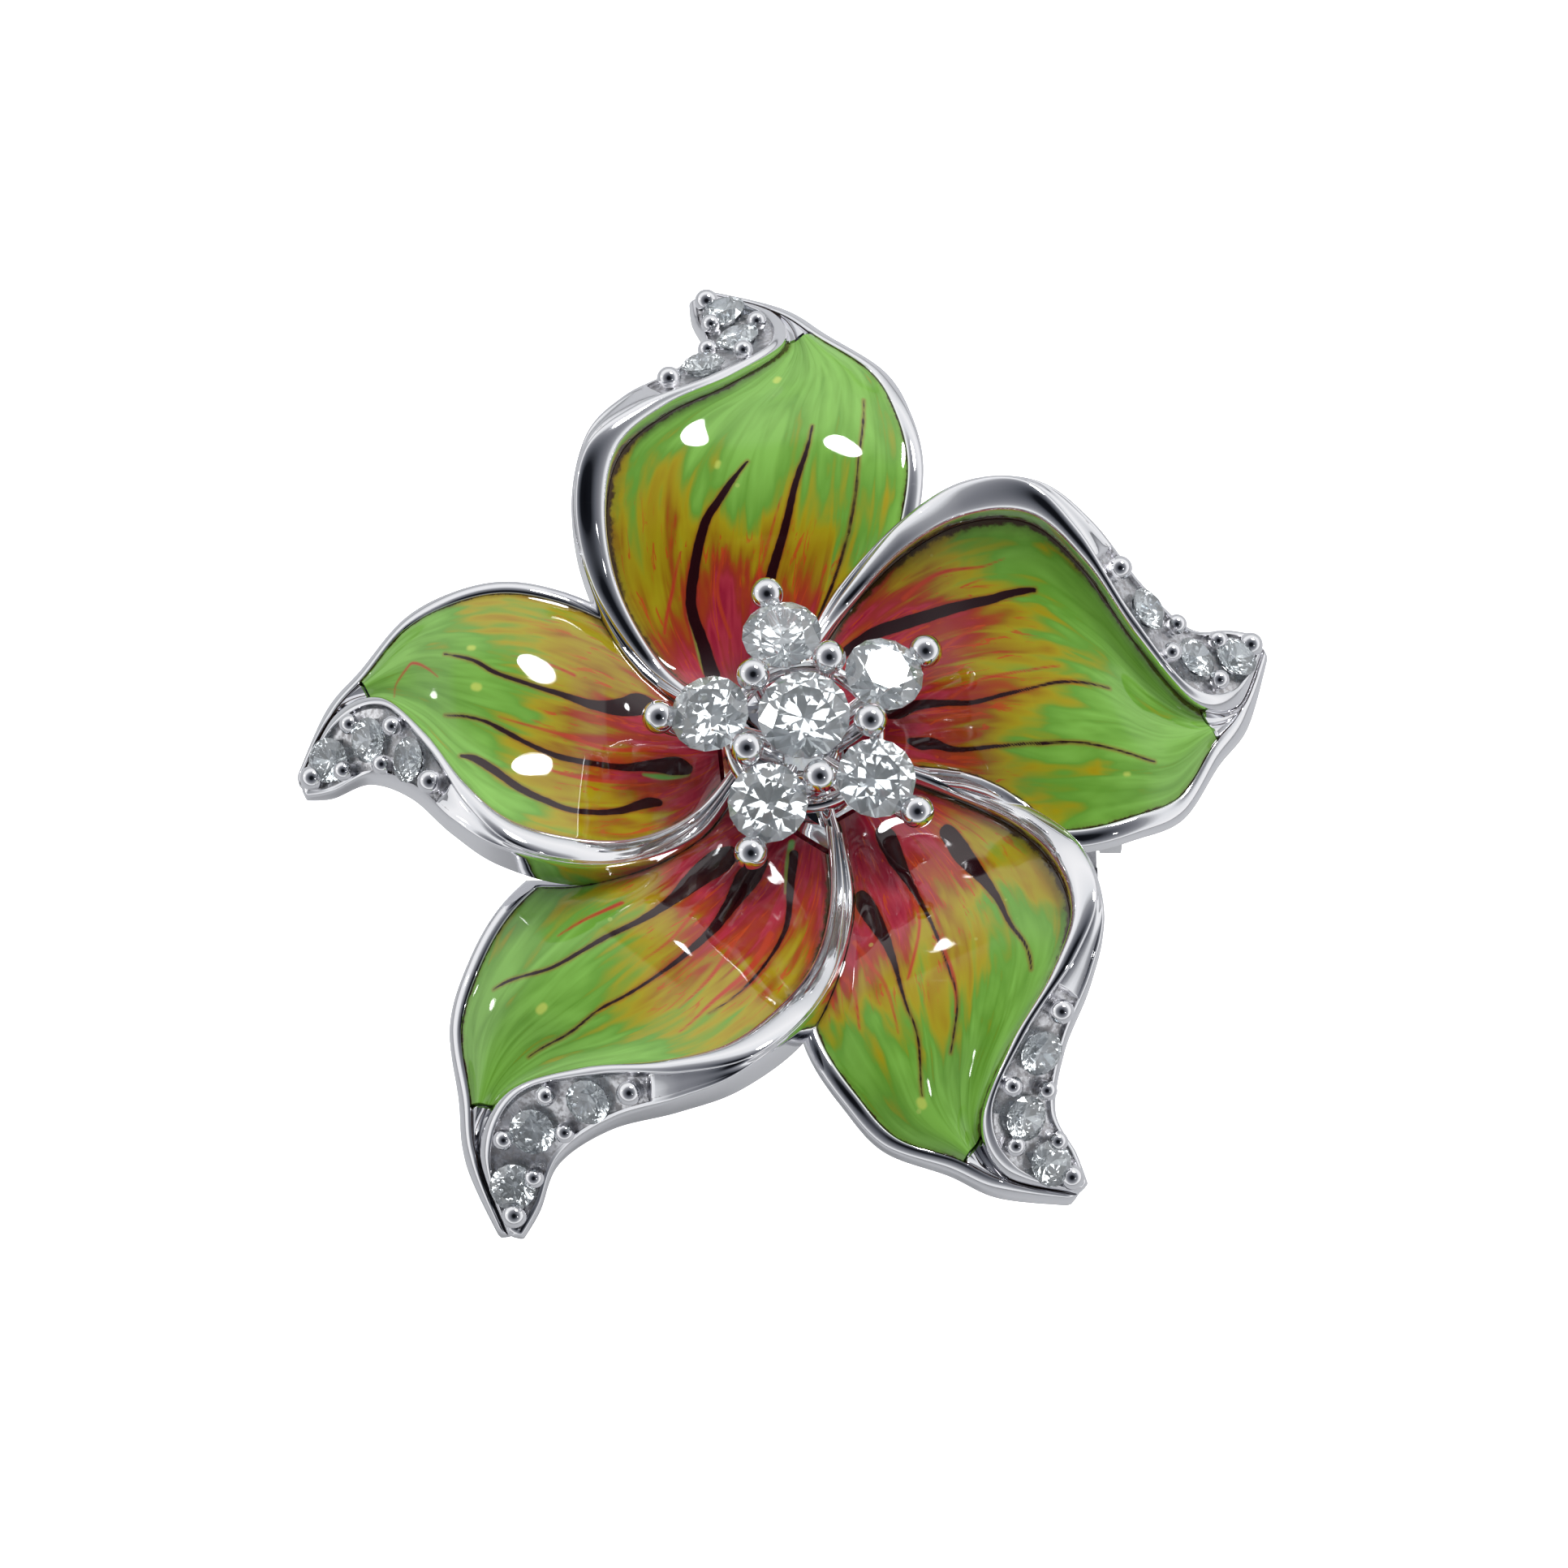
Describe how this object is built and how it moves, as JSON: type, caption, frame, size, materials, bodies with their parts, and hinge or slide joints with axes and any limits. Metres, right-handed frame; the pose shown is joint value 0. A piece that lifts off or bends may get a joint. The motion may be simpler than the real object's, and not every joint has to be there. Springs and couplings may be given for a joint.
{
  "type": "hat pin",
  "caption": "Jewelled enamel flower hat pin with overlapping curled petals, a clustered stone centre and a hinged pin stem with a rolling safety catch.",
  "frame": {"origin": "on the axis of the pin stem, half way along its plain length, below the middle of the flower", "axes": "+Z out of the flower's face, +X from the hinge to the catch along the pin stem, +Y towards the petal that points up"},
  "size_m": [0.0323, 0.0339, 0.0114],
  "materials": {
    "silver": "polished",
    "enamel": "glossy fired enamel, crimson at the root through yellow to green",
    "stone": "clear cut stone",
    "fitting": "polished"
  },
  "bodies": {
    "flower": {"petal_1": "silver", "petal_2": "silver", "petal_3": "silver", "petal_4": "silver", "petal_5": "silver", "petal_enamel_1": "enamel", "petal_enamel_2": "enamel", "petal_enamel_3": "enamel", "petal_enamel_4": "enamel", "petal_enamel_5": "enamel", "petal_stones_1": "stone", "petal_stones_2": "stone", "petal_stones_3": "stone", "petal_stones_4": "stone", "petal_stones_5": "stone", "petal_claws_1": "silver", "petal_claws_2": "silver", "petal_claws_3": "silver", "petal_claws_4": "silver", "petal_claws_5": "silver", "flower_hub": "silver", "gallery_ring": "silver", "inner_claws": "silver", "outer_claws": "silver", "centre_stone": "stone", "ring_stone_1": "stone", "ring_stone_2": "stone", "ring_stone_3": "stone", "ring_stone_4": "stone", "ring_stone_5": "stone", "pin_bar": "fitting", "hinge_bracket": "fitting", "hinge_rivet": "fitting", "catch_body": "fitting"},
    "stem": {"pin_stem": "fitting"},
    "roller": {"catch_roller": "fitting"}
  },
  "joints": [
    {"name": "stem_swing", "type": "hinge", "parent": "flower", "child": "stem", "pos_m": [-0.0095, 0, 0], "axis": [0, 1, 0], "range_deg": [0, 100]},
    {"name": "catch_turn", "type": "hinge", "parent": "flower", "child": "roller", "pos_m": [0.0095, 0, 0], "axis": [1, 0, 0], "range_deg": [0, 110]}
  ]
}
